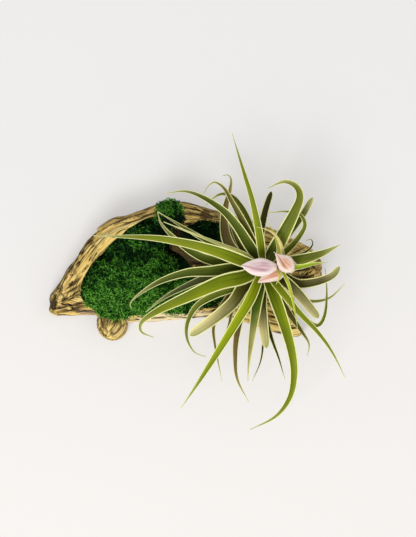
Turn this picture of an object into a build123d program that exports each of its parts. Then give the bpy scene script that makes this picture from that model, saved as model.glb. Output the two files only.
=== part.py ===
"""An air plant in its driftwood holder: a hollow, flat-footed piece of gnarled driftwood, filled with
cushions of preserved moss on a thin pad, and an air plant whose stem stands in a socket in the wood.

Lengths are in millimetres. X runs along the wood, Y from its low front rim to its high back rim and
Z up. The origin is on the flat underside of the wood. Places in plan are read off a plan picture in
its pixels, and plan_x and plan_y turn them into millimetres."""

from build123d import *
from math import cos, hypot, pi, sin
import os

# The plan picture: the size of one pixel on the object, and the pixel over the origin
plan_pixel = 0.9
origin_pixel = (185.0, 268.0)

# Driftwood
wood_height = 50.0
wood_sink = 7.0
waist_share = 0.45
ridge_depth = 1.4
ridge_count = 14
ridge_points = 56
ridge_full_half = 30.0
floor_thickness = 9.0
cut_overrun = 12.0
foot_cut = 400.0
knob_pixel = (111.5, 323.5)
knob_radius = 13.0
knob_height = 23.0
knob_sink = 5.0

# Pad and moss in the hollow
moss_clearance = 0.3
pad_thickness = 6.0

# Stem of the plant and the socket that it stands in
stem_pixel = (263.0, 268.0)
socket_floor = 12.0
stem_clearance = 0.6
stem_foot_radius = 8.0
stem_neck_radius = 6.0
stem_length = 32.0
core_radius = 7.5
core_top_radius = 4.5
core_skirt = 3.0
tier_count = 10
tier_pitch = 2.6

# Leaves
leaf_width = 12.0
leaf_thickness = 1.1
leaf_edge = 0.3
leaf_channel = 1.8
leaf_gap = 0.25
tip_width = 0.6
tip_thickness = 0.4
tip_edge = 0.2
arch_span = 100.0
lowest_rise = 4.0
tier_rise = 8.0
lowest_fall = 14.0
tier_fall = 5.0
section_pitch = 13.0
fewest_sections = 7

# Flower head
head_foot = 6.0
head_height = 22.0
scape_radius = 2.6
scape_tip_radius = 1.4
scape_bend_pixel = (275.0, 266.5)
scape_bend_share = 0.2
scape_top_pixel = (278.5, 266.0)
scape_top_share = 0.9
bract_width = 15.0
bract_thickness = 9.0
young_rise = 16.0
young_fall = 12.0
young_taper = 1.3

# Outline of the driftwood: x, back and front in plan pixels, then back and front height shares
wood_stations = (
    (50, 295, 311, 0.50, 0.44),
    (60, 282, 315, 0.66, 0.52),
    (74, 260, 316, 0.84, 0.54),
    (88, 240.5, 316, 0.94, 0.52),
    (104, 226, 317, 0.99, 0.51),
    (121, 218, 322, 1.00, 0.50),
    (140, 211, 322, 1.00, 0.48),
    (165, 202, 321, 1.00, 0.50),
    (190, 202, 319, 0.97, 0.50),
    (215, 209, 318, 0.90, 0.52),
    (240, 217, 321, 0.82, 0.56),
    (265, 226, 330, 0.78, 0.60),
    (285, 236, 336, 0.76, 0.60),
    (302, 244, 336, 0.72, 0.54),
    (315, 252, 290, 0.62, 0.56),
    (321, 260, 279, 0.52, 0.46),
)

# The hollow: x, back and front in plan pixels
hollow_stations = (
    (83, 286, 298),
    (90, 270, 304),
    (100, 256, 309),
    (116, 240, 314),
    (138, 223, 314),
    (160, 216, 311),
    (185, 218, 309),
    (212, 221, 309),
    (232, 228, 304),
    (242, 239, 293),
)

# The gap in the front rim that the moss spills through, and the notch at the right-hand end
spill_pixels = ((100, 300), (132, 300), (134, 312), (124, 318), (105, 318), (98, 311))
notch_pixels = ((294, 303), (299, 287), (311, 284), (345, 284), (345, 345), (312, 345), (304, 331), (296, 318))

# A ridge of wood that stands in the hollow
ridge_pixels = ((171, 243), (180, 245), (191, 253), (204, 264), (201, 269), (188, 262), (177, 253), (169, 247))
ridge_height = 31.0

# Moss cushions in the hollow: centre and half sizes in plan pixels, then the height share of the crown
moss_shares = {
    "moss_left": (100, 284, 27, 30, 0.66),
    "moss_middle": (141, 280, 36, 36, 0.78),
    "moss_back": (132, 240, 36, 26, 0.66),
    "moss_right": (192, 286, 34, 30, 0.54),
    "moss_rear": (213, 238, 28, 24, 0.46),
}

# Moss on the rims: the same, then the share of the way from the pad up to the wood's height for the foot
rim_moss_shares = {
    "moss_spill": (116, 306, 20, 13, 0.58, 0.00),
    "moss_top": (170, 214, 14, 12, 1.00, 0.43),
    "moss_front": (178, 307, 21, 6, 0.62, 0.00),
}

# Leaves: tier on the stem, width share, droop share, taper, then the plan pixels that the midrib passes over
leaf_rows = {
    "leaf_01": (9, 0.72, 1.0, 1.2, ((259, 236), (252, 202), (243, 172), (232, 135))),
    "leaf_02": (7, 0.95, 1.0, 1.2, ((246, 241), (237, 227), (224, 212), (205, 199), (186, 192), (166, 194))),
    "leaf_03": (6, 0.80, 1.0, 1.2, ((250, 238), (241, 219), (232, 203), (224, 189), (215, 183), (208, 187), (204, 194))),
    "leaf_04": (4, 0.80, 1.0, 1.2, ((254, 245), (250, 229), (246, 217), (240, 206), (232, 197), (222, 194.5),
                                   (213, 199), (204, 208))),
    "leaf_05": (1, 1.05, 1.0, 1.4, ((236, 254), (227, 240), (224, 222), (226, 205), (230, 190), (231, 180),
                                   (228, 175.5), (223, 176))),
    "leaf_06": (3, 0.55, 1.0, 1.5, ((243, 250), (236, 238), (231, 226), (226, 214))),
    "leaf_07": (2, 0.50, 1.0, 3.0, ((260, 240), (262, 224), (266, 207), (271, 192))),
    "leaf_08": (8, 1.15, 1.0, 1.2, ((277, 245), (286, 228), (294, 212), (299, 198), (295, 187), (283, 182.5),
                                   (267, 189))),
    "leaf_09": (3, 0.50, 1.0, 3.0, ((277, 248), (290, 231), (302, 215), (312, 198))),
    "leaf_10": (5, 0.55, 1.0, 1.4, ((288, 249), (299, 236), (304, 225), (299, 215), (285, 212), (267, 213.5))),
    "leaf_11": (2, 0.35, 1.0, 1.6, ((285, 262), (299, 255), (308, 250), (312, 244), (310, 239.5), (305, 241))),
    "leaf_12": (7, 0.80, 1.0, 2.6, ((285, 263), (303, 259), (322, 253), (339, 245))),
    "leaf_13": (4, 0.62, 1.0, 2.2, ((284, 277), (298, 283.5), (316, 281.5), (331, 275.5), (338.5, 266.5))),
    "leaf_14": (2, 0.33, 1.0, 2.4, ((282, 283), (296, 295), (311, 301), (329, 297.5), (344, 283.5))),
    "leaf_15": (6, 0.85, 1.0, 2.6, ((284, 281), (297, 293), (308, 306), (317.5, 317.5))),
    "leaf_16": (3, 0.60, 1.0, 1.1, ((279, 288), (292, 304), (305, 318.5), (317, 325), (324, 314), (326, 292),
                                   (324.5, 268))),
    "leaf_17": (9, 0.65, 1.0, 1.2, ((284, 295), (299, 313), (317, 332), (331, 351.5), (344, 377))),
    "leaf_18": (5, 0.65, 1.0, 1.6, ((275, 292), (287, 311), (300, 329.5), (308, 343), (306.5, 355))),
    "leaf_19": (8, 1.10, 1.0, 1.1, ((274, 297), (283, 322.5), (290.5, 349), (293.3, 373), (289, 396.5),
                                   (275, 415.5), (250, 429))),
    "leaf_20": (1, 0.45, 1.0, 1.6, ((262, 302), (266, 320), (272, 340), (278.5, 358), (284.5, 378.5))),
    "leaf_21": (3, 0.85, 1.0, 3.0, ((261, 300), (262.5, 320), (266, 347.5))),
    "leaf_22": (6, 0.98, 1.0, 1.3, ((257, 298), (254.5, 316), (251, 340), (248.5, 362), (247.5, 380))),
    "leaf_23": (9, 0.88, 1.0, 1.4, ((249.5, 299), (235, 323), (218, 350.5), (200, 379), (181, 407.5))),
    "leaf_24": (4, 0.68, 1.0, 1.6, ((250, 291), (242, 310), (236.5, 335), (235, 355), (237, 378), (248.5, 401.5))),
    "leaf_25": (1, 0.40, 1.0, 1.8, ((244, 290), (233, 308), (229, 324), (224, 337), (217.5, 346))),
    "leaf_26": (5, 1.00, 1.0, 2.2, ((243, 287), (233, 302), (215, 317.5), (190, 335))),
    "leaf_27": (3, 0.80, 1.0, 1.2, ((238, 285), (214, 295), (197, 305.5), (188, 321), (187, 337), (194, 351),
                                   (206, 356.5))),
    "leaf_28": (8, 1.25, 1.0, 1.5, ((243, 277), (220, 282.5), (190, 295.5), (160, 309.5), (143, 321), (142, 331),
                                   (154, 337))),
    "leaf_29": (2, 0.75, 1.0, 1.6, ((232, 270), (205, 278), (182, 288), (162, 299), (146, 312))),
    "leaf_30": (6, 1.08, 1.0, 1.2, ((236, 268.5), (212, 271), (186, 273), (160, 281.5), (139, 294.5), (131, 303),
                                   (132, 308))),
    "leaf_31": (9, 1.08, 0.9, 1.1, ((242, 261), (216, 251.5), (186, 243.5), (150, 238), (94, 236))),
    "leaf_32": (5, 0.60, 0.9, 1.5, ((238, 256), (220, 248), (203, 239), (186, 229), (171, 220), (158, 212))),
    "leaf_33": (4, 1.00, 0.8, 1.4, ((240, 265), (220, 262), (203, 257.5), (186, 248), (171, 235), (161, 223),
                                   (158, 212))),
    "leaf_34": (8, 0.30, 1.0, 2.0, ((244, 254), (220, 244.5), (192, 233.5), (164, 222.3))),
    "leaf_35": (0, 0.28, 1.0, 2.0, ((262, 300), (263, 330), (261, 358), (252, 381))),
    "dried_leaf": (0, 0.45, 1.0, 1.4, ((240, 284), (224, 302), (214, 324), (215, 345), (222, 381))),
}

# Thin young leaves of the flower head: height share in the head, width share, then plan pixels
young_leaf_rows = {
    "young_leaf_1": (0.45, 0.45, ((279.5, 263), (282, 256), (280, 245), (275, 236), (266, 230), (256, 227.5))),
    "young_leaf_2": (0.30, 0.25, ((278, 263), (278, 247), (273, 233), (266, 222))),
    "young_leaf_3": (0.45, 0.30, ((280.5, 268.5), (288, 285), (293, 306), (297, 330))),
    "young_leaf_4": (0.45, 0.50, ((282, 266), (297, 267), (312, 264), (327, 262))),
    "young_leaf_5": (0.40, 0.25, ((277.5, 270), (279, 277), (277, 281), (275, 285))),
}

# Bracts: height share of the centre in the head, width share, thickness share, then plan pixels
bract_rows = {
    "bract_left": (0.62, 1.00, 1.0, ((276, 266), (262, 266), (251, 267), (240, 265))),
    "bract_front": (0.10, 0.80, 0.8, ((286, 269), (276, 273), (267, 277), (257, 282))),
    "bract_top": (0.85, 0.85, 0.9, ((291, 270), (286, 265), (280, 259), (273, 252))),
    "bract_right": (0.15, 0.90, 0.8, ((280, 264), (286, 265), (291, 266), (296, 267))),
}

stem_base = socket_floor + stem_clearance
pad_top = floor_thickness + pad_thickness
tiers_base = stem_base + stem_length
tiers_top = tiers_base + tier_count * tier_pitch
head_base = tiers_top + head_foot


def plan_x(pixel):
    return (pixel - origin_pixel[0]) * plan_pixel


def plan_y(pixel):
    return (origin_pixel[1] - pixel) * plan_pixel


def save(part, name):
    part.label = name
    export_step(part, f"parts/{name}.step")


def rounded(value):
    """A cosine or sine pushed towards its ends, so that an ellipse grows square shoulders."""
    return abs(value) ** 0.72 * (1 if value > 0 else -1)


def wood_section(index, back, front, back_share, front_share):
    """Points round one cross-section of the wood, with ridges that run on as long grain."""
    half = (plan_y(back) - plan_y(front)) / 2
    middle = (plan_y(back) + plan_y(front)) / 2
    depth = ridge_depth * min(half / ridge_full_half, 1)
    points = []
    for step in range(ridge_points):
        turn = 2 * pi * step / ridge_points
        across, lift = rounded(cos(turn)), rounded(sin(turn))
        crest = wood_height * (front_share + (back_share - front_share) * (1 + across) / 2)
        waist = crest * waist_share
        wave = cos(ridge_count * turn + index * 0.3)
        ridge = depth * wave * (1 + 0.3 * sin(2 * turn + index * 0.5))
        reach = crest - waist if lift > 0 else waist + wood_sink
        points.append(Vector(middle + (half - depth + ridge) * across, waist + (reach + ridge) * lift))
    return points


def hollow(inset):
    """The hollow of the wood as a solid, open at the top and drawn in by inset."""
    with BuildPart() as cut:
        for x, back, front in hollow_stations:
            high, low = plan_y(back) - inset, plan_y(front) + inset
            top, bottom = wood_height + cut_overrun, floor_thickness + inset
            bend = min(bottom + (high - low) / 3, wood_height / 2)
            with BuildSketch(Plane.YZ.offset(plan_x(x))):
                with BuildLine():
                    Polyline((low, bend), (low, top), (high, top), (high, bend))
                    Bezier((high, bend), (high, bottom), ((high + low) / 2, bottom), (low, bottom), (low, bend))
                make_face()
        loft()
    return cut.part


def mound(x, y, half_x, half_y, foot, crown):
    """A domed cushion: flat ellipses that shrink towards the crown."""
    with BuildPart() as dome:
        for level_share, size_share in ((0, 1), (0.35, 0.95), (0.65, 0.78), (0.87, 0.5), (1, 0.12)):
            with BuildSketch(Plane.XY.offset(foot + (crown - foot) * level_share)):
                with Locations((plan_x(x), plan_y(y))):
                    Ellipse(half_x * plan_pixel * size_share, half_y * plan_pixel * size_share)
        loft()
    return dome.part


def eased(points, spot):
    """Place and heading on a smooth curve through the points; spot counts the points passed."""
    index = min(int(spot), len(points) - 2)
    part = spot - index
    start, end = points[index], points[index + 1]
    before = points[index - 1] if index > 0 else start * 2 - end
    after = points[index + 2] if index + 2 < len(points) else end * 2 - start
    pull, push = (end - before) / 2, (after - start) / 2
    place = (start * (2 * part ** 3 - 3 * part ** 2 + 1) + pull * (part ** 3 - 2 * part ** 2 + part)
             + end * (3 * part ** 2 - 2 * part ** 3) + push * (part ** 3 - part ** 2))
    heading = (start * (6 * part ** 2 - 6 * part) + pull * (3 * part ** 2 - 4 * part + 1)
               + end * (6 * part - 6 * part ** 2) + push * (3 * part ** 2 - 2 * part))
    return place, heading


def arched(root, pixels, rise, fall):
    """Points of a midrib that springs from root, and rises and falls over the plan pixels."""
    points = [root]
    run = 0
    for pixel in pixels:
        x, y = plan_x(pixel[0]), plan_y(pixel[1])
        run += hypot(x - points[-1].X, y - points[-1].Y)
        share = run / arch_span
        points.append(Vector(x, y, root.Z + rise * share - fall * share ** 2))
    return points, run


def spot_at(points, share):
    """How many points are passed at a share of the whole way along them."""
    ways = [(end - start).length for start, end in zip(points, points[1:])]
    left = sum(ways) * share
    for index, way in enumerate(ways):
        if left <= way:
            return index + left / way
        left -= way
    return len(ways)


def blade(points, run, width, thickness, channel, taper):
    """A leaf: channelled cross-sections lofted along the curve through the points."""
    count = max(fewest_sections, round(run / section_pitch))
    with BuildPart() as leaf:
        for step in range(count + 1):
            share = step / count
            place, heading = eased(points, spot_at(points, share))
            swell = 0.62 + 0.38 * sin(min(share / 0.22, 1) * pi / 2)
            wide = tip_width + (width - tip_width) * swell * (1 - share ** taper)
            thick = thickness + (tip_thickness - thickness) * share
            edge = leaf_edge + (tip_edge - leaf_edge) * share
            dip = channel * (wide / width) * min(0.25 + share / 0.15, 1)
            half = wide / 2
            across = Vector(-heading.Y, heading.X, 0)
            with BuildSketch(Plane(origin=place, x_dir=across, z_dir=heading)):
                with BuildLine():
                    Bezier((-half, edge / 2), (0, edge / 2 - 2 * dip), (half, edge / 2))
                    Line((half, edge / 2), (half, -edge / 2))
                    Bezier((half, -edge / 2), (0, 1.5 * edge - 2 * dip - 2 * thick), (-half, -edge / 2))
                    Line((-half, -edge / 2), (-half, edge / 2))
                make_face()
        loft()
    return leaf.part


os.makedirs("parts", exist_ok=True)
stem_x, stem_y = plan_x(stem_pixel[0]), plan_y(stem_pixel[1])

# The driftwood: lofted outline, knob, hollow, gap and notch in the rims, socket and flat foot
with BuildPart() as driftwood:
    for index, (x, back, front, back_share, front_share) in enumerate(wood_stations):
        with BuildSketch(Plane.YZ.offset(plan_x(x))):
            with BuildLine():
                add(Edge.make_spline(wood_section(index, back, front, back_share, front_share), periodic=True,
                                     parameters=range(ridge_points + 1)))
            make_face()
    loft()
    with BuildSketch(Plane.XZ.offset(-plan_y(knob_pixel[1]))):
        with BuildLine():
            Spline((plan_x(knob_pixel[0]), knob_height), (plan_x(knob_pixel[0]) + knob_radius, knob_height / 2),
                   (plan_x(knob_pixel[0]), -knob_sink), tangents=((1, 0), (-1, 0)))
            Line((plan_x(knob_pixel[0]), -knob_sink), (plan_x(knob_pixel[0]), knob_height))
        make_face()
    revolve(axis=Axis((plan_x(knob_pixel[0]), plan_y(knob_pixel[1]), 0), (0, 0, 1)))
    add(hollow(0), mode=Mode.SUBTRACT)
    with BuildSketch(Plane.XY.offset(floor_thickness / 2)):
        with BuildLine():
            Spline([(plan_x(x), plan_y(y)) for x, y in ridge_pixels], periodic=True)
        make_face()
    extrude(amount=ridge_height - floor_thickness / 2)
    for pixels, foot in ((spill_pixels, pad_top), (notch_pixels, -wood_sink - cut_overrun)):
        with BuildSketch(Plane.XY.offset(foot)):
            with BuildLine():
                Spline([(plan_x(x), plan_y(y)) for x, y in pixels], periodic=True)
            make_face()
        extrude(amount=wood_height + cut_overrun - foot, mode=Mode.SUBTRACT)
    with Locations((stem_x, stem_y, socket_floor)):
        Cylinder(stem_foot_radius + stem_clearance, wood_height, align=(Align.CENTER, Align.CENTER, Align.MIN),
                 mode=Mode.SUBTRACT)
    with BuildSketch(Plane.XY):
        Rectangle(foot_cut, foot_cut)
    extrude(amount=-foot_cut / 2, mode=Mode.SUBTRACT)
save(driftwood.part, "driftwood")

# The pad under the moss
with BuildPart() as pad:
    add(hollow(moss_clearance))
    split(bisect_by=Plane.XY.offset(pad_top), keep=Keep.BOTTOM)
    add(driftwood.part, mode=Mode.SUBTRACT)
save(pad.part, "pad")

# The moss cushions, each pressed against the ones before it
filled = hollow(moss_clearance)
laid = []
for name, (x, y, half_x, half_y, crown_share) in moss_shares.items():
    with BuildPart() as moss:
        add(mound(x, y, half_x, half_y, pad_top, wood_height * crown_share))
        add(filled, mode=Mode.INTERSECT)
        add(driftwood.part, mode=Mode.SUBTRACT)
        for other in laid:
            add(other, mode=Mode.SUBTRACT)
    laid.append(moss.part)
    save(moss.part, name)
for name, (x, y, half_x, half_y, crown_share, foot_share) in rim_moss_shares.items():
    with BuildPart() as moss:
        foot = pad_top + (wood_height - pad_top) * foot_share
        add(mound(x, y, half_x, half_y, foot, wood_height * crown_share))
        add(driftwood.part, mode=Mode.SUBTRACT)
        for other in laid:
            add(other, mode=Mode.SUBTRACT)
    laid.append(moss.part)
    save(moss.part, name)

# The stem: a foot in the socket, a neck and the core that the leaves spring from
with BuildPart() as stem:
    with BuildSketch(Plane.XZ):
        with BuildLine():
            Polyline((0, stem_base), (stem_foot_radius, stem_base), (stem_foot_radius, stem_base + core_skirt))
            Spline((stem_foot_radius, stem_base + core_skirt), (stem_neck_radius, stem_base + stem_length / 2),
                   (core_radius, tiers_base - core_skirt))
            Polyline((core_radius, tiers_base - core_skirt), (core_radius, tiers_base),
                     (core_top_radius, tiers_top), (0, tiers_top), (0, stem_base))
        make_face()
    revolve(axis=Axis.Z)
stem.part.position = (stem_x, stem_y, 0)
save(stem.part, "stem")

# The leaves
for name, (tier, width_share, droop_share, taper, pixels) in leaf_rows.items():
    aim_x, aim_y = plan_x(pixels[0][0]) - stem_x, plan_y(pixels[0][1]) - stem_y
    reach = hypot(aim_x, aim_y)
    radius = core_radius + (core_top_radius - core_radius) * tier / tier_count + leaf_gap
    root = Vector(stem_x + aim_x / reach * radius, stem_y + aim_y / reach * radius, tiers_base + tier * tier_pitch)
    rise = lowest_rise + tier_rise * tier
    fall = (lowest_fall + tier_fall * tier) * droop_share
    points, run = arched(root, pixels, rise, fall)
    save(blade(points, run, leaf_width * width_share, leaf_thickness, leaf_channel * width_share,
               taper), name)

# The flower head: a leaning scape, boat-shaped bracts and thin young leaves
head = []
for name, (level_share, width_share, thickness_share, pixels) in bract_rows.items():
    places = [Vector(plan_x(x), plan_y(y), head_base + head_height * level_share) for x, y in pixels]
    with BuildPart() as bract:
        for step in range(fewest_sections + 1):
            share = step / fewest_sections
            place, heading = eased(places, spot_at(places, share))
            size_share = max(sin(pi * (share * 0.9 + 0.08)) ** 0.7, 0.12)
            with BuildSketch(Plane(origin=place, x_dir=Vector(-heading.Y, heading.X, 0), z_dir=heading)):
                Ellipse(bract_width * width_share * size_share / 2, bract_thickness * thickness_share * size_share / 2)
        loft()
        for other in head:
            add(other, mode=Mode.SUBTRACT)
    head.append(bract.part)
    save(bract.part, name)
for name, (level_share, width_share, pixels) in young_leaf_rows.items():
    root = Vector(plan_x(pixels[0][0]), plan_y(pixels[0][1]), head_base + head_height * level_share)
    points, run = arched(root, pixels[1:], young_rise, young_fall)
    save(blade(points, run, leaf_width * width_share, leaf_thickness * width_share, leaf_channel * width_share,
               young_taper), name)
with BuildPart() as scape:
    foot = Vector(stem_x, stem_y, tiers_top)
    bend = Vector(plan_x(scape_bend_pixel[0]), plan_y(scape_bend_pixel[1]), head_base + head_height * scape_bend_share)
    top = Vector(plan_x(scape_top_pixel[0]), plan_y(scape_top_pixel[1]), head_base + head_height * scape_top_share)
    for place, heading, radius in ((foot, Vector(0, 0, 1), scape_radius), (bend, top - foot, scape_radius),
                                   (top, Vector(0, 0, 1), scape_tip_radius)):
        with BuildSketch(Plane(origin=place, z_dir=heading)):
            Circle(radius)
    loft()
    for other in head:
        add(other, mode=Mode.SUBTRACT)
save(scape.part, "scape")
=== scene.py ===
"""Looks of the air plant in its driftwood holder: gnarled wood with grain along its rims, cushions of
curled moss, channelled leaves with pale margins and the pink flower head. Metres, in the frame's axes."""

import math

import bmesh
import bpy
import numpy as np
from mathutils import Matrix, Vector
from bpy.props import FloatProperty, FloatVectorProperty, IntProperty, PointerProperty


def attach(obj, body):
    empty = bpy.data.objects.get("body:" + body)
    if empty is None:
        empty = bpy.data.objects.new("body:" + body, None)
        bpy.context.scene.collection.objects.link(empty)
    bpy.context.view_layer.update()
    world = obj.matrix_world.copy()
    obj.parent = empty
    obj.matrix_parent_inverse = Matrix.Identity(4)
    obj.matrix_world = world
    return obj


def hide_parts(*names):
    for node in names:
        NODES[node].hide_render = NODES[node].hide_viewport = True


bl_info = {
    "name": "Air plant in a driftwood holder",
    "version": (1, 0, 0),
    "blender": (4, 5, 0),
    "location": "3D View > Sidebar > Air plant",
    "description": "Builds the wood, moss, leaves and flower head over the fixed frame",
    "category": "Object",
}

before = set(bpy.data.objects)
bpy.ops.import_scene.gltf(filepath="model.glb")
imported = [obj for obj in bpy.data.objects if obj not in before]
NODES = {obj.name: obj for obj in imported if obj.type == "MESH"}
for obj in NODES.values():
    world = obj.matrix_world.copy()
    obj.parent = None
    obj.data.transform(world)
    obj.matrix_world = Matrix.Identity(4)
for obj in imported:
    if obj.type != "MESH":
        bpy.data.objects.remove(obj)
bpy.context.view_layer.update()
MM = 0.001

# The plan picture: pixel size on the object, the pixel over the origin, and its frame
PIXEL = 0.9 * MM
ORIGIN_PIXEL = (185.0, 268.0)
PICTURE = (416, 537)

BLACK = (0.0, 0.0, 0.0)
WHITE = (1.0, 1.0, 1.0)

# The plant's measures, as in the frame
STEM_PIXEL = (263.0, 268.0)
SOCKET_RADIUS = 8.6 * MM
SOCKET_FLOOR = 12.0 * MM
TIERS_BASE = 44.6 * MM
TIER_PITCH = 2.6 * MM
TIER_COUNT = 10
CORE_RADIUS = 7.5 * MM
CORE_TOP_RADIUS = 4.5 * MM
LEAF_GAP = 0.25 * MM
LEAF_WIDTH = 12.0 * MM
LEAF_THICKNESS = 1.1 * MM
LEAF_CHANNEL = 1.8 * MM
ARCH_SPAN = 100.0 * MM
LOWEST_RISE = 4.0 * MM
TIER_RISE = 8.0 * MM
LOWEST_FALL = 14.0 * MM
TIER_FALL = 5.0 * MM
HEAD_BASE = TIERS_BASE + TIER_COUNT * TIER_PITCH + 6.0 * MM
HEAD_HEIGHT = 22.0 * MM
YOUNG_RISE = 16.0 * MM
YOUNG_FALL = 12.0 * MM
YOUNG_TAPER = 1.3
BRACT_WIDTH = 15.0 * MM
BRACT_THICKNESS = 9.0 * MM

# Leaf shape: a taper from here up stands for a blunt tip, whose round cap takes up the last share of the leaf;
# then the width at the base, how soon the leaf is at its widest and its channel at its deepest, and the least width
BLUNT_TAPER = 5.0
BLUNT_CAP = 0.10
BLUNT_SLIMMING = 0.35
BASE_WIDTH = 0.62
WIDEST_AT = 0.22
DEEPEST_AT = 0.15
LEAST_WIDTH = 0.045
LEAST_HALF_WIDTH = 0.3 * MM

# Leaf skin: what a tint is multiplied by in its dark and light lines and in its painted shade and painted light, the
# scurf, and how the tips bleach
LEAF_DARK = (0.45, 0.50, 0.35)
LEAF_LIGHT = (1.55, 1.42, 1.2)
SCURF_COLOUR = (0.60, 0.64, 0.40)
TIP_TINT = "#CDCF9E"
TIP_BLEACH = 0.6
MOTTLE_PER_METRE = 70.0

# Leaf finishes: colour near the stem, colour towards the tip, and the share of the underside's beige
# The low leaves' finishes, the dark one most of all, are darker in part as painted shade under the leaves above
FINISHES = {
    "lime": ("#9AAE10", "#71801A", 0.0),
    "fresh": ("#7D8F10", "#76802A", 0.0),
    "green": ("#5A6E14", "#777C38", 0.1),
    "deep": ("#46580E", "#5A6626", 0.0),
    "olive": ("#545418", "#6F6A3C", 0.2),
    "brown": ("#4A4224", "#83724C", 0.3),
    "dark": ("#23260A", "#3E3E1C", 0.0),
    "grass": ("#74880C", "#76801E", 0.0),
    "greenbeige": ("#4A6012", "#B4AC78", 0.5),
    "slate": ("#34401C", "#5C6440", 0.0),
    "sage": ("#5C601C", "#9C9A66", 0.4),
    "darkside": ("#30360E", "#66603A", 0.3),
    "beige": ("#4C4E18", "#C2BA8C", 0.9),
    "pale": ("#D5DB86", "#E2E4B4", 0.2),
}

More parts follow.
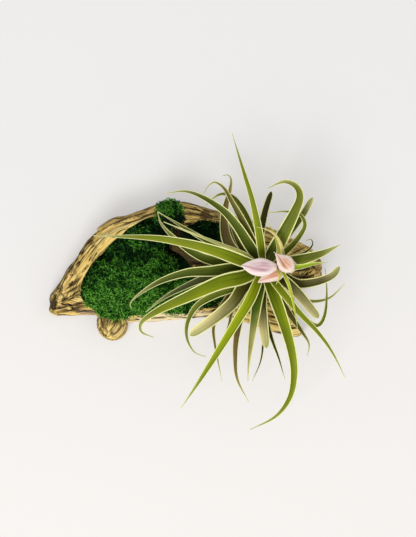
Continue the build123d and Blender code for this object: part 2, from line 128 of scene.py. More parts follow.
# Leaves: tier on the stem, width share, droop share, taper, finish, then the midrib's plan pixels
LEAVES = {
    "leaf_01": (9, 0.72, 1.0, 1.2, "fresh",
        ((259, 236), (252, 202), (243, 172), (232, 135))),
    "leaf_02": (7, 0.95, 1.0, 1.2, "deep",
        ((246, 241), (237, 227), (224, 212), (205, 199), (186, 192), (166, 194))),
    "leaf_03": (6, 0.80, 1.0, 1.2, "olive",
        ((250, 238), (241, 219), (232, 203), (224, 189), (215, 183), (208, 187), (204, 194))),
    "leaf_04": (4, 0.80, 1.0, 1.2, "green",
        ((254, 245), (250, 229), (246, 217), (240, 206), (232, 197), (222, 194.5), (213, 199), (204, 208))),
    "leaf_05": (1, 1.05, 1.0, 1.4, "brown",
        ((236, 254), (227, 240), (224, 222), (226, 205), (230, 190), (231, 180), (228, 175.5), (223, 176))),
    "leaf_06": (3, 0.55, 1.0, 1.5, "olive",
        ((243, 250), (236, 238), (231, 226), (226, 214))),
    "leaf_07": (2, 0.62, 1.0, 9.0, "dark",
        ((260, 240), (262, 224), (266, 207), (271, 192))),
    "leaf_08": (8, 1.22, 1.0, 1.5, "green",
        ((277, 245), (286, 228), (294, 212), (299, 198), (295, 187), (283, 182.5), (267, 189))),
    "leaf_09": (3, 0.62, 1.0, 9.0, "deep",
        ((277, 248), (290, 231), (302, 215), (312, 198))),
    "leaf_10": (5, 0.55, 1.0, 1.4, "green",
        ((288, 249), (299, 236), (304, 225), (299, 215), (285, 212), (267, 213.5))),
    "leaf_11": (2, 0.35, 1.0, 1.6, "dark",
        ((285, 262), (299, 255), (308, 250), (312, 244), (310, 239.5), (305, 241))),
    "leaf_12": (7, 0.95, 1.0, 2.6, "green",
        ((285, 263), (303, 259), (322, 253), (339, 245))),
    "leaf_13": (4, 0.72, 1.0, 6.0, "darkside",
        ((284, 277), (298, 283.5), (316, 281.5), (331, 275.5), (338.5, 266.5))),
    "leaf_14": (2, 0.33, 1.0, 2.4, "sage",
        ((282, 283), (296, 295), (311, 301), (329, 297.5), (344, 283.5))),
    "leaf_15": (6, 0.85, 1.0, 6.0, "beige",
        ((284, 281), (297, 293), (308, 306), (317.5, 317.5))),
    "leaf_16": (3, 0.60, 1.0, 1.1, "green",
        ((279, 288), (292, 304), (305, 318.5), (317, 325), (324, 314), (326, 292), (324.5, 268))),
    "leaf_17": (9, 0.65, 1.0, 1.2, "fresh",
        ((284, 295), (299, 313), (317, 332), (331, 351.5), (344, 377))),
    "leaf_18": (5, 0.65, 1.0, 1.6, "olive",
        ((275, 292), (287, 311), (300, 329.5), (308, 343), (306.5, 355))),
    "leaf_19": (8, 1.10, 1.0, 1.1, "grass",
        ((274, 297), (283, 322.5), (290.5, 349), (293.3, 373), (289, 396.5), (275, 415.5), (250, 429))),
    "leaf_20": (1, 0.45, 1.0, 1.6, "dark",
        ((262, 302), (266, 320), (272, 340), (278.5, 358), (284.5, 378.5))),
    "leaf_21": (3, 0.85, 1.0, 7.0, "beige",
        ((261, 300), (262.5, 320), (266, 347.5))),
    "leaf_22": (6, 0.98, 1.0, 1.3, "greenbeige",
        ((257, 298), (254.5, 316), (251, 340), (248.5, 362), (247.5, 380))),
    "leaf_23": (9, 0.88, 1.0, 1.4, "lime",
        ((249.5, 299), (235, 323), (218, 350.5), (200, 379), (181, 407.5))),
    "leaf_24": (4, 0.68, 1.0, 1.6, "brown",
        ((250, 291), (242, 310), (236.5, 335), (235, 355), (237, 378), (248.5, 401.5))),
    "leaf_25": (1, 0.40, 1.0, 1.8, "brown",
        ((244, 290), (233, 308), (229, 324), (224, 337), (217.5, 346))),
    "leaf_26": (5, 1.00, 1.0, 6.0, "beige",
        ((243, 287), (233, 302), (215, 317.5), (190, 335))),
    "leaf_27": (3, 0.80, 1.0, 1.2, "green",
        ((238, 285), (214, 295), (197, 305.5), (188, 321), (187, 337), (194, 351), (206, 356.5))),
    "leaf_28": (8, 1.25, 1.0, 1.5, "grass",
        ((243, 277), (220, 282.5), (190, 295.5), (160, 309.5), (143, 321), (142, 331), (154, 337))),
    "leaf_29": (2, 0.75, 1.0, 1.6, "slate",
        ((232, 270), (205, 278), (182, 288), (162, 299), (146, 312))),
    "leaf_30": (6, 1.08, 1.0, 1.2, "deep",
        ((236, 268.5), (212, 271), (186, 273), (160, 281.5), (139, 294.5), (131, 303), (132, 308))),
    "leaf_31": (9, 1.08, 0.9, 1.1, "fresh",
        ((242, 261), (216, 251.5), (186, 243.5), (150, 238), (94, 236))),
    "leaf_32": (5, 0.60, 0.9, 1.5, "deep",
        ((238, 256), (220, 248), (203, 239), (186, 229), (171, 220), (158, 212))),
    "leaf_33": (4, 1.00, 0.8, 1.4, "deep",
        ((240, 265), (220, 262), (203, 257.5), (186, 248), (171, 235), (161, 223), (158, 212))),
    "leaf_34": (8, 0.30, 1.0, 2.0, "pale",
        ((244, 254), (220, 244.5), (192, 233.5), (164, 222.3))),
    "leaf_35": (0, 0.28, 1.0, 2.0, "dark",
        ((262, 300), (263, 330), (261, 358), (252, 381))),
    "dried_leaf": (0, 0.45, 1.0, 1.4, "brown",
        ((240, 284), (224, 302), (214, 324), (215, 345), (222, 381))),
}

# Thin young leaves: height share in the head, width share, colour, then plan pixels
YOUNG_LEAVES = {
    "young_leaf_1": (0.45, 0.30, "#DCC98C",
        ((279.5, 263), (282, 256), (280, 245), (275, 236), (266, 230), (256, 227.5))),
    "young_leaf_2": (0.30, 0.45, "#AEB352",
        ((278, 263), (278, 247), (273, 233), (266, 222))),
    "young_leaf_3": (0.45, 0.30, "#B4C238",
        ((280.5, 268.5), (288, 285), (293, 306), (297, 330))),
    "young_leaf_4": (0.45, 0.50, "#8FAA2C",
        ((282, 266), (297, 267), (312, 264), (327, 262))),
    "young_leaf_5": (0.40, 0.25, "#C9C45A",
        ((277.5, 270), (279, 277), (277, 281), (275, 285))),
}

# Bracts: height share of the centre, width and thickness shares, fullest place, slimness of the tip, the
# tints of rim, middle, fold and base, then plan pixels from base to tip
BRACTS = {
    "bract_left": (0.62, 1.08, 1.0, 0.45, 0.8, ("#FCF1EC", "#CCA2AE", "#A87688", "#F6E6DA"),
                   ((276, 267), (263, 267.3), (252, 267), (241, 265.5))),
    "bract_front": (0.10, 0.85, 0.8, 0.35, 0.9, ("#FBE9DC", "#E9B090", "#CE8064", "#E0D6A4"),
                    ((286, 269), (276, 273), (267, 277), (257, 282.5))),
    # Painted shade: the top bract's dark brown fold tint
    "bract_top": (0.85, 1.0, 0.9, 0.34, 1.7, ("#FCEEE2", "#E8AA88", "#7A5A2C", "#F8EADC"),
                  ((292, 270), (286, 265), (280, 259), (273, 252))),
    "bract_right": (0.15, 0.90, 0.8, 0.5, 0.8, ("#EEE8C8", "#D8D6A0", "#B8B870", "#E6E0B8"),
                    ((280, 264), (286, 265), (291, 266), (297, 266))),
}

# Moss: the size of its clumps, how far they swell, and how deep the strands stand in the cushion
CLUMP = 10.0 * MM
CLUMP_SWELL = 1.6 * MM
STRAND_FOOT = 1.5 * MM
STRAND_SPREAD = 0.6
# Greens from a strand's foot to its tip: darker towards the foot, partly painted shade deep in the cushion
MOSS_MIDDLE = (0.010, 0.060, 0.010)
MOSS_TIPS = (0.22, 0.62, 0.07)
MOSS_NODES = ("moss_left", "moss_middle", "moss_back", "moss_right", "moss_rear", "moss_spill", "moss_top",
              "moss_front")


class WoodSettings(bpy.types.PropertyGroup):
    voxel: FloatProperty(name="Voxel", description="Size of the wood's remesh voxels", default=0.95 * MM, unit="LENGTH")
    furrow: FloatProperty(name="Furrow", description="Depth of the furrows along the grain", default=1.6 * MM,
                          unit="LENGTH")
    crack: FloatProperty(name="Crack", description="Depth of the deepest cracks", default=2.4 * MM, unit="LENGTH")
    groove_colour: FloatVectorProperty(name="Groove", description="Colour deep in the furrows", subtype="COLOR",
                                       size=3, default=(0.026, 0.014, 0.006))
    body_colour: FloatVectorProperty(name="Body", description="Ochre of the weathered wood", subtype="COLOR",
                                     size=3, default=(0.85, 0.585, 0.15))
    crest_colour: FloatVectorProperty(name="Crest", description="Cream of the worn crests", subtype="COLOR",
                                      size=3, default=(1.0, 0.87, 0.47))
    # The flank is grey brown partly as the bark's colour and partly as painted shade on the sideways faces
    flank_colour: FloatVectorProperty(name="Flank", description="Grey brown of the outer flank", subtype="COLOR",
                                      size=3, default=(0.30, 0.21, 0.11))


class MossSettings(bpy.types.PropertyGroup):
    strands: IntProperty(name="Strands", description="Curled strands on the largest cushion", default=6000)
    strand_length: FloatProperty(name="Strand length", description="Length of one curled strand", default=9.0 * MM,
                                 unit="LENGTH")
    strand_width: FloatProperty(name="Strand width", description="Width of one strand at its foot",
                                default=1.45 * MM, unit="LENGTH")
    shade_colour: FloatVectorProperty(name="Shade", description="Green deep between the strands", subtype="COLOR",
                                      size=3, default=(0.003, 0.020, 0.006))
    bright_colour: FloatVectorProperty(name="Bright", description="Green of the strands' tips", subtype="COLOR",
                                       size=3, default=(0.078, 0.31, 0.022))


class LeafSettings(bpy.types.PropertyGroup):
    margin_colour: FloatVectorProperty(name="Margin", description="Pale cream of the leaf margins", subtype="COLOR",
                                       size=3, default=(1.0, 1.0, 0.44))
    beige_colour: FloatVectorProperty(name="Underside", description="Beige of leaves that turn over",
                                      subtype="COLOR", size=3, default=(0.50, 0.46, 0.27))
    margin_share: FloatProperty(name="Margin share", description="Share of the half width that is pale",
                                default=0.20, min=0.0, max=1.0)


class HeadSettings(bpy.types.PropertyGroup):
    vein_colour: FloatVectorProperty(name="Vein", description="What a bract's tint is multiplied by in its veins",
                                     subtype="COLOR", size=3, default=(0.86, 0.68, 0.66))


class StageSettings(bpy.types.PropertyGroup):
    distance: FloatProperty(name="Distance", description="Height of the camera above the table", default=8.0,
                            unit="LENGTH")
    key_power: FloatProperty(name="Key", description="Power of the soft key light in watts", default=59.0)
    fill_power: FloatProperty(name="Fill", description="Power of the soft fill light in watts", default=8.0)
    world_strength: FloatProperty(name="World", description="Strength of the even studio light", default=0.50)
    floor_colour: FloatVectorProperty(name="Floor", description="Pale floor", subtype="COLOR", size=3,
                                      default=(0.905, 0.88, 0.86))
    floor_glow: FloatProperty(name="Floor glow", description="Share of the floor's brightness that shadows leave",
                              default=0.45, min=0.0, max=1.0)


def paint(code):
    """A linear colour from a #RRGGBB code."""
    values = [int(code[i:i + 2], 16) / 255 for i in (1, 3, 5)]
    return np.array([v / 12.92 if v <= 0.04045 else ((v + 0.055) / 1.055) ** 2.4 for v in values])


def plan(pixel):
    return np.array([(pixel[0] - ORIGIN_PIXEL[0]) * PIXEL, (ORIGIN_PIXEL[1] - pixel[1]) * PIXEL])


def scatter(cells, seed):
    """A repeatable value from 0 to 1 for each whole-number cell; the large odd factors stir its bits."""
    mixed = cells[..., 0] * 374761393 + cells[..., 1] * 668265263 + cells[..., 2] * 2147483647 + seed * 974634777
    mixed = (mixed ^ (mixed >> 13)) * 1274126177
    return ((mixed ^ (mixed >> 16)) & 0xFFFFFF) / 0xFFFFFF


def rough(points, scale, seed, octaves=1):
    """Smooth noise from -1 to 1 at the points; scale is in repeats per unit."""
    total = np.zeros(len(points))
    for octave in range(octaves):
        spots = points * scale * 2 ** octave
        cells = np.floor(spots).astype(np.int64)
        part = spots - cells
        part = part * part * (3 - 2 * part)
        value = np.zeros(len(points))
        for corner in range(8):
            step = np.array([corner & 1, corner >> 1 & 1, corner >> 2 & 1])
            weight = np.prod(np.where(step, part, 1 - part), axis=1)
            value += weight * scatter(cells + step, seed + octave)
        total += (2 * value - 1) / 2 ** octave
    return total


def ease(low, high, value):
    share = np.clip((value - low) / (high - low), 0, 1)
    return share * share * (3 - 2 * share)


def new_piece(name, points, faces):
    """A mesh object at the origin, in the scene."""
    mesh = bpy.data.meshes.new(name)
    mesh.from_pydata([tuple(p) for p in points], [], faces)
    mesh.validate()
    piece = bpy.data.objects.new(name, mesh)
    bpy.context.scene.collection.objects.link(piece)
    return piece


def stamp(mesh, name, values):
    """Stores one number, or one colour, for each vertex."""
    values = np.asarray(values, dtype=np.float32)
    if values.ndim == 1:
        mesh.attributes.new(name, "FLOAT", "POINT").data.foreach_set("value", values)
    elif values.shape[1] == 3 and name.endswith("place"):
        mesh.attributes.new(name, "FLOAT_VECTOR", "POINT").data.foreach_set("vector", values.ravel())
    else:
        colours = np.hstack([values, np.ones((len(values), 1), dtype=np.float32)])
        mesh.attributes.new(name, "FLOAT_COLOR", "POINT").data.foreach_set("color", colours.ravel())


def finish(name, roughness):
    """A new matt material, its principled shader and a function that adds a wired node."""
    material = bpy.data.materials.new(name)
    material.use_nodes = True
    tree = material.node_tree
    shader = tree.nodes["Principled BSDF"]
    shader.inputs["Roughness"].default_value = roughness
    shader.inputs["Specular IOR Level"].default_value = 0.1

    def node(kind, inputs=None, **settings):
        made = tree.nodes.new(kind)
        for key, value in settings.items():
            setattr(made, key, value)
        for key, value in (inputs or {}).items():
            if isinstance(value, bpy.types.NodeSocket):
                tree.links.new(value, made.inputs[key])
            else:
                made.inputs[key].default_value = value
        return made

    return material, shader, node


def coat(shader, **values):
    """Wires values into the shader's sockets, named as the sockets are, with a _ for each space."""
    for key, value in values.items():
        shader.id_data.links.new(value, shader.inputs[key.replace("_", " ")])


def ramp(node, factor, stops):
    made = node("ShaderNodeValToRGB", {"Fac": factor})
    ends = made.color_ramp.elements
    while len(ends) < len(stops):
        ends.new(0.5)
    for end, (place, colour) in zip(ends, stops):
        end.position = place
        end.color = (*colour[:3], 1)
    return made.outputs["Color"]


def mix(node, factor, one, two, blend="MIX"):
    """Mixes two colours; a mix node's sockets 0, 6 and 7 are its factor and its two colours."""
    made = node("ShaderNodeMix", {}, data_type="RGBA", blend_type=blend)
    for index, value in ((0, factor), (6, one), (7, two)):
        if isinstance(value, bpy.types.NodeSocket):
            made.id_data.links.new(value, made.inputs[index])
        elif index == 0:
            made.inputs[index].default_value = value
        else:
            made.inputs[index].default_value = (*value[:3], 1)
    return made.outputs[2]


def read(node, name):
    return node("ShaderNodeAttribute", attribute_name=name)


def math_node(node, operation, one, two=0.0):
    made = node("ShaderNodeMath", {0: one, 1: two}, operation=operation)
    return made.outputs[0]


def bump(node, height, strength, distance):
    return node("ShaderNodeBump", {"Height": height, "Strength": strength, "Distance": distance}).outputs[0]


def noise(node, place, scale, detail=2.0, roughness=0.5):
    return node("ShaderNodeTexNoise", {"Vector": place, "Scale": scale, "Detail": detail,
                                       "Roughness": roughness}).outputs[0]


def stretched(node, place, scale):
    """The place scaled along each axis, so that a texture there draws out into lines."""
    return node("ShaderNodeMapping", {"Vector": place, "Scale": scale}).outputs[0]


def own_place(node):
    """The place on the piece itself, in metres."""
    return node("ShaderNodeTexCoord").outputs["Object"]


def slope(node, value, low, high, top=1.0):
    """0 at low and top at high, with a straight slope between them."""
    return node("ShaderNodeMapRange", {"Value": value, "From Min": low, "From Max": high,
                                       "To Max": top}).outputs[0]


def alone(piece):
    """Leaves only this piece selected, and makes it the active one."""
    bpy.ops.object.select_all(action="DESELECT")
    piece.select_set(True)
    bpy.context.view_layer.objects.active = piece


def pick(piece, test):
    """Selects, in edit mode, the vertices whose place passes the test."""
    sheet = bmesh.from_edit_mesh(piece.data)
    for vertex in sheet.verts:
        vertex.select = test(vertex.co)
    sheet.select_flush_mode()
    bmesh.update_edit_mesh(piece.data)


def places(piece):
    values = np.empty(len(piece.data.vertices) * 3)
    piece.data.vertices.foreach_get("co", values)
    return values.reshape(-1, 3)


def put(piece, points):
    piece.data.vertices.foreach_set("co", points.ravel())
    piece.data.update()


def normals(piece):
    values = np.empty(len(piece.data.vertices) * 3, dtype=np.float32)
    piece.data.vertex_normals.foreach_get("vector", values)
    return values.reshape(-1, 3).astype(float)


def add_modifier(piece, kind, **settings):
    """Adds a modifier, sets it and applies it."""
    made = piece.modifiers.new(kind.lower(), kind)
    for key, value in settings.items():
        setattr(made, key, value)
    alone(piece)
    bpy.ops.object.modifier_apply(modifier=made.name)


def copy_node(name, piece_name):
    """A merged copy of a fixed node's mesh, free to be shaped."""
    piece = NODES[name].copy()
    piece.data = NODES[name].data.copy()
    piece.name = piece_name
    for key in list(piece.keys()):
        del piece[key]
    piece.parent = None
    piece.data.materials.clear()
    bpy.context.scene.collection.objects.link(piece)
    alone(piece)
    bpy.ops.object.mode_set(mode="EDIT")
    bpy.ops.mesh.select_all(action="SELECT")
    bpy.ops.mesh.remove_doubles(threshold=0.01 * MM)
    bpy.ops.object.mode_set(mode="OBJECT")
    return piece


def settle(piece, body, slot, *nodes):
    """Puts a piece on its body, in the place of its nodes, and hides those nodes; the slot is not used."""
    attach(piece, body)
    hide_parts(*nodes)


def eased(points, spot):
    """Place on a smooth curve through the points; spot counts the points passed."""
    index = min(int(spot), len(points) - 2)
    part = spot - index
    start, end = points[index], points[index + 1]
    before = points[index - 1] if index > 0 else start * 2 - end
    after = points[index + 2] if index + 2 < len(points) else end * 2 - start
    pull, push = (end - before) / 2, (after - start) / 2
    return (start * (2 * part ** 3 - 3 * part ** 2 + 1) + pull * (part ** 3 - 2 * part ** 2 + part)
            + end * (3 * part ** 2 - 2 * part ** 3) + push * (part ** 3 - part ** 2))


def arched(root, pixels, rise, fall):
    """Points of a midrib that springs from root, and rises and falls over the plan pixels."""
    points = [np.array(root)]
    run = 0.0
    for pixel in pixels:
        x, y = plan(pixel)
        run += math.hypot(x - points[-1][0], y - points[-1][1])
        share = run / ARCH_SPAN
        points.append(np.array([x, y, root[2] + rise * share - fall * share ** 2]))
    return points


def midrib(points, name):
    """A curve along the smooth line through the points, and its length."""
    spots = [eased(points, spot) for spot in np.linspace(0, len(points) - 1, 16 * (len(points) - 1) + 1)]
    data = bpy.data.curves.new(name, "CURVE")
    data.dimensions = "3D"
    data.twist_mode = "Z_UP"
    line = data.splines.new("POLY")
    line.points.add(len(spots) - 1)
    for point, spot in zip(line.points, spots):
        point.co = (*spot, 1)
    guide = bpy.data.objects.new(name, data)
    bpy.context.scene.collection.objects.link(guide)
    return guide, sum(np.linalg.norm(b - a) for a, b in zip(spots, spots[1:]))


def narrowing(x, taper):
    """Width share left at a share of the length."""
    if taper < BLUNT_TAPER:
        return 1 - x ** taper
    cap = max(x - (1 - BLUNT_CAP), 0) / BLUNT_CAP
    return (1 - BLUNT_SLIMMING * x ** 2) * math.sqrt(max(1 - cap * cap, 0))


def cut_blade(taper, name="blade pattern", columns=56, rows=8):
    """A flat pattern of one leaf, one unit long and wide: a grid with a channel, narrowed to its tip."""
    bpy.ops.object.select_all(action="DESELECT")
    bpy.ops.mesh.primitive_grid_add(x_subdivisions=columns, y_subdivisions=rows, size=1, location=(0.5, 0, 0))
    blade = bpy.context.active_object
    blade.name = name
    bpy.ops.object.transform_apply(location=True, rotation=False, scale=False)
    across = sorted({round(vertex.co.y, 4) for vertex in blade.data.vertices})
    along = sorted({round(vertex.co.x, 4) for vertex in blade.data.vertices})
    bpy.ops.object.mode_set(mode="EDIT")
    bpy.ops.mesh.select_mode(type="VERT")
    for y in across:
        pick(blade, lambda co: abs(co.y - y) < 0.001)
        bpy.ops.transform.translate(value=(0, 0, 4 * y * y - 1))
    for x in along:
        pick(blade, lambda co: abs(co.x - x) < 0.001)
        swell = BASE_WIDTH + (1 - BASE_WIDTH) * math.sin(min(x / WIDEST_AT, 1) * math.pi / 2)
        wide = max(swell * narrowing(x, taper), LEAST_WIDTH)
        bpy.ops.transform.resize(value=(1, wide, wide * min(0.25 + x / DEEPEST_AT, 1)), center_override=(x, 0, 0))
    bpy.ops.object.mode_set(mode="OBJECT")
    return blade


def grow_blade(pattern, name, points, width, thickness, channel):
    """A leaf of its real length and width from the pattern, bent along its midrib."""
    leaf = pattern.copy()
    leaf.data = pattern.data.copy()
    leaf.name = name
    bpy.context.scene.collection.objects.link(leaf)
    guide, length = midrib(points, name + " midrib")
    alone(leaf)
    leaf.scale = (length, width, channel)
    bpy.ops.object.transform_apply(location=False, rotation=False, scale=True)
    group = leaf.vertex_groups.new(name="thickness")
    for vertex in leaf.data.vertices:
        share = vertex.co.x / length
        half = max(width * (1 - share) / 2, LEAST_HALF_WIDTH)
        side = min(abs(vertex.co.y) / half, 1)
        group.add([vertex.index], max((1 - 0.6 * share) * (1 - 0.65 * side ** 2), 0.15), "REPLACE")
    add_modifier(leaf, "SOLIDIFY", thickness=thickness, offset=-1, vertex_group="thickness",
                 thickness_vertex_group=0.1)
    add_modifier(leaf, "CURVE", object=guide, deform_axis="POS_X")
    bpy.data.objects.remove(guide)
    leaf.vertex_groups.clear()
    bpy.ops.object.shade_smooth_by_angle(angle=math.radians(50))
    return leaf


def leaf_root(tier, pixel):
    """Where a leaf springs from the stem's core, towards its first plan pixel."""
    centre, first = plan(STEM_PIXEL), plan(pixel)
    heading = (first - centre) / np.linalg.norm(first - centre)
    radius = CORE_RADIUS + (CORE_TOP_RADIUS - CORE_RADIUS) * tier / TIER_COUNT + LEAF_GAP
    return np.array([*(centre + heading * radius), TIERS_BASE + tier * TIER_PITCH])


def leaf_finish(name, settings, roughness=0.45, veins=30.0):
    """Leaf skin: the leaf's own tint, long striations, painted light on one half of the channel and painted shade on
    the other and along the midrib, a thin pale margin and fine scurf.
    """
    material, shader, node = finish(name, roughness)
    uv = node("ShaderNodeUVMap", uv_map="UVMap").outputs[0]
    off_middle = math_node(node, "SUBTRACT", node("ShaderNodeSeparateXYZ", {0: uv}).outputs[1], 0.5)
    side = math_node(node, "MULTIPLY", math_node(node, "ABSOLUTE", off_middle), 2.0)
    lines = noise(node, stretched(node, uv, (1.2, veins, 1.0)), 1.0, 5.0, 0.7)
    scurf = noise(node, own_place(node), 1500.0, 3.0, 0.7)
    tint = read(node, "tint").outputs["Color"]
    dark = mix(node, 1.0, tint, LEAF_DARK, "MULTIPLY")
    light = mix(node, 1.0, tint, LEAF_LIGHT, "MULTIPLY")
    body = mix(node, ramp(node, lines, [(0.34, BLACK), (0.66, WHITE)]), dark, light)
    # Painted light and shade on the channel's halves: one half is darkened and the other lightened; the sign of
    # lit_half picks which
    turned = math_node(node, "MULTIPLY", off_middle, read(node, "lit_half").outputs["Fac"])
    body = mix(node, slope(node, turned, 0.12, 0.40, 0.75), body, dark)
    body = mix(node, slope(node, turned, -0.05, -0.36, 0.7), body, light)
    # Painted shade: a darker strip along the midrib, in the channel's crease
    body = mix(node, slope(node, side, 0.16, 0.02, 0.35), body, dark)
    wander = node("ShaderNodeMath", {0: lines, 1: 0.24, 2: -0.12}, operation="MULTIPLY_ADD").outputs[0]
    share = settings.margin_share
    edge = slope(node, math_node(node, "ADD", side, wander), 1.0 - 1.1 * share, 1.0 - 0.35 * share)
    skin = mix(node, edge, body, tuple(settings.margin_colour))
    skin = mix(node, ramp(node, scurf, [(0.60, BLACK), (0.95, (0.06, 0.06, 0.06))]), skin, SCURF_COLOUR)
    height = math_node(node, "ADD", math_node(node, "MULTIPLY", lines, 0.8), math_node(node, "MULTIPLY", scurf, 0.4))
    coat(shader, Base_Color=skin, Normal=bump(node, height, 0.5, 0.4 * MM))
    return material


def tint_leaf(leaf, base, tip, beige, settings, seed, bleach=TIP_BLEACH):
    """Stamps the leaf's own colour on it, from the stem to the tip, with soft patches, painted shade near the stem, and
    which half takes the painted light.
    """
    points = places(leaf)
    corner_uv = np.empty(len(leaf.data.loops) * 2, dtype=np.float32)
    leaf.data.uv_layers[0].data.foreach_get("uv", corner_uv)
    corner_vertex = np.empty(len(leaf.data.loops), dtype=np.int32)
    leaf.data.loops.foreach_get("vertex_index", corner_vertex)
    along = np.zeros(len(points))
    along[corner_vertex] = corner_uv.reshape(-1, 2)[:, 0]
    mottle = 0.5 + 0.5 * rough(points, MOTTLE_PER_METRE, seed, 2) / 1.5
    share = np.clip(along + 0.25 * (mottle - 0.5), 0, 1)
    share = (ease(0.3, 0.85, share) if beige > 0.45 else share)[:, None]
    colour = base * (1 - share) + tip * share
    under = (normals(leaf)[:, 2] < -0.1)[:, None] * (0.25 + 0.75 * beige)
    colour = colour * (1 - under) + np.array(settings.beige_colour) * under
    end = (ease(0.68, 1.0, along) * bleach)[:, None]
    colour = colour * (1 - end) + paint(TIP_TINT) * end
    # Painted shade: darker near the stem, under the leaves above
    deep = 0.55 + 0.45 * ease(0.0, 0.3, along)
    stamp(leaf.data, "tint", colour * (0.85 + 0.3 * mottle[:, None]) * deep[:, None])
    # Which half of the leaf takes the painted shade and which takes the painted light
    stamp(leaf.data, "lit_half", np.full(len(points), 1.0 if seed % 3 else -1.0))


class PLANT_OT_leaves(bpy.types.Operator):
    """Grows the long channelled leaves, the dried one and the thin young ones along their midribs"""
    bl_idname = "air_plant.leaves"
    bl_label = "Leaves"

    def execute(self, context):
        settings = context.scene.air_plant_leaves
        fresh = leaf_finish("leaf skin", settings)
        dried = leaf_finish("dried leaf skin", settings, roughness=0.75, veins=20.0)
        tapers = {row[3] for row in LEAVES.values()} | {YOUNG_TAPER}
        patterns = {taper: cut_blade(taper) for taper in sorted(tapers)}
        for seed, (name, (tier, share, droop, taper, kind, pixels)) in enumerate(LEAVES.items()):
            rise, fall = LOWEST_RISE + TIER_RISE * tier, (LOWEST_FALL + TIER_FALL * tier) * droop
            points = arched(leaf_root(tier, pixels[0]), pixels, rise, fall)
            leaf = grow_blade(patterns[taper], name + "_blade", points, LEAF_WIDTH * share, LEAF_THICKNESS,
                              LEAF_CHANNEL * share)
            base, tip, beige = FINISHES[kind]
            tint_leaf(leaf, paint(base), paint(tip), beige, settings, seed, 0.0 if kind == "dark" else TIP_BLEACH)
            leaf.data.materials.append(dried if name == "dried_leaf" else fresh)
            settle(leaf, "air_plant", "dried_leaf" if name == "dried_leaf" else "leaf", name)
        for seed, (name, (level, share, colour, pixels)) in enumerate(YOUNG_LEAVES.items()):
            root = np.array([*plan(pixels[0]), HEAD_BASE + HEAD_HEIGHT * level])
            points = arched(root, pixels[1:], YOUNG_RISE, YOUNG_FALL)
            leaf = grow_blade(patterns[YOUNG_TAPER], name + "_blade", points, LEAF_WIDTH * share,
                              LEAF_THICKNESS * share, LEAF_CHANNEL * share)
            tint_leaf(leaf, paint(colour), paint(colour), 0.2, settings, seed + 60)
            leaf.data.materials.append(fresh)
            settle(leaf, "air_plant", "young_leaf", name)
        for pattern in patterns.values():
            bpy.data.objects.remove(pattern)
        return {"FINISHED"}


# The wood's outline for its grain: plan pixel across, then the back and front edges
WOOD_STATIONS = ((50, 295, 311), (60, 282, 315), (74, 260, 316), (88, 240.5, 316), (104, 226, 317), (121, 218, 322),
                 (140, 211, 322), (165, 202, 321), (190, 202, 319), (215, 209, 318), (240, 217, 321),
                 (265, 226, 330), (285, 236, 336), (302, 244, 336), (315, 252, 290), (321, 260, 279))

# Deep grooves in the wood: half width and depth in millimetres, then plan pixels from end to end
GROOVES = (
    (1.5, 2.6, ((58, 285), (62, 280), (71, 265.5), (83, 249), (96, 236))),
    (1.2, 2.4, ((99, 230.5), (113, 223), (126, 218.5), (140, 213), (152, 208.5))),
    (0.9, 1.8, ((86, 260), (92, 252.5), (99, 244), (106, 236.5), (113, 230))),
    (1.0, 1.6, ((74, 272), (84, 257), (94, 246))),
    (1.4, 2.4, ((66, 289.5), (74, 284), (83, 276.5))),
    (1.2, 2.2, ((62, 295), (72, 290.5), (83, 283.5))),
    (0.9, 1.8, ((72, 296), (80, 291), (84, 287.5))),
    (1.0, 1.8, ((63, 303), (72, 299.5), (79, 295.5))),
    (1.5, 2.6, ((53, 309), (63, 308.5), (74, 305.5), (86, 300.5))),
    (1.2, 2.2, ((57, 312), (70, 311), (80, 308), (90, 305.5))),
    (1.0, 1.8, ((120, 228), (129, 223.5), (139, 219.5), (150, 215))),
    (1.0, 2.0, ((130, 216.5), (139, 215), (148, 211.5))),
    (1.0, 2.0, ((173, 206), (184, 207), (192, 208), (201, 210.5))),
    (1.5, 2.4, ((184, 214.5), (194, 213), (203, 214), (213, 217.5))),
    (0.9, 1.8, ((196, 205), (206, 209.5), (216, 212.5))),
    (0.4, 0.9, ((142, 319.5), (158, 318), (172, 317.5), (196, 316.5), (220, 315.5))),
    (1.2, 2.2, ((262, 232), (270, 235), (278, 239))),
    (1.3, 2.2, ((287, 271.5), (297, 270.5), (306, 269), (315, 266.5))),
    (1.5, 2.4, ((285, 276), (297, 277.5), (308, 277), (317, 273))),
    (0.9, 1.6, ((292, 266), (303, 263), (313, 260.5))),
    (0.9, 1.6, ((288, 256), (298, 250.5), (306, 247))),
    (1.2, 2.0, ((262, 315), (271, 316.5), (282, 318))),
    (1.2, 2.0, ((264, 322), (276, 324), (287, 326))),
    (1.2, 2.0, ((267, 330.5), (278, 332), (290, 332.5))),
)

# Curved streaks that fan out over the knob: the same values
KNOB_GROOVES = (
    (1.0, 2.0, ((101.8, 314), (101.2, 320), (102.5, 325), (104.5, 330))),
    (1.0, 2.0, ((109.5, 315), (108.5, 320), (107, 326))),
    (1.4, 2.2, ((121, 317.5), (116, 320), (111.5, 325))),
    (0.8, 1.6, ((126, 322), (121, 326), (117, 331))),
    (0.9, 1.8, ((99, 328), (103, 332.5), (107.5, 335.5))),
)
KNOB_PIXEL = (111.5, 323.5)
KNOB_RADIUS = 13.0 * MM
KNOB_GRAIN = math.radians(62)
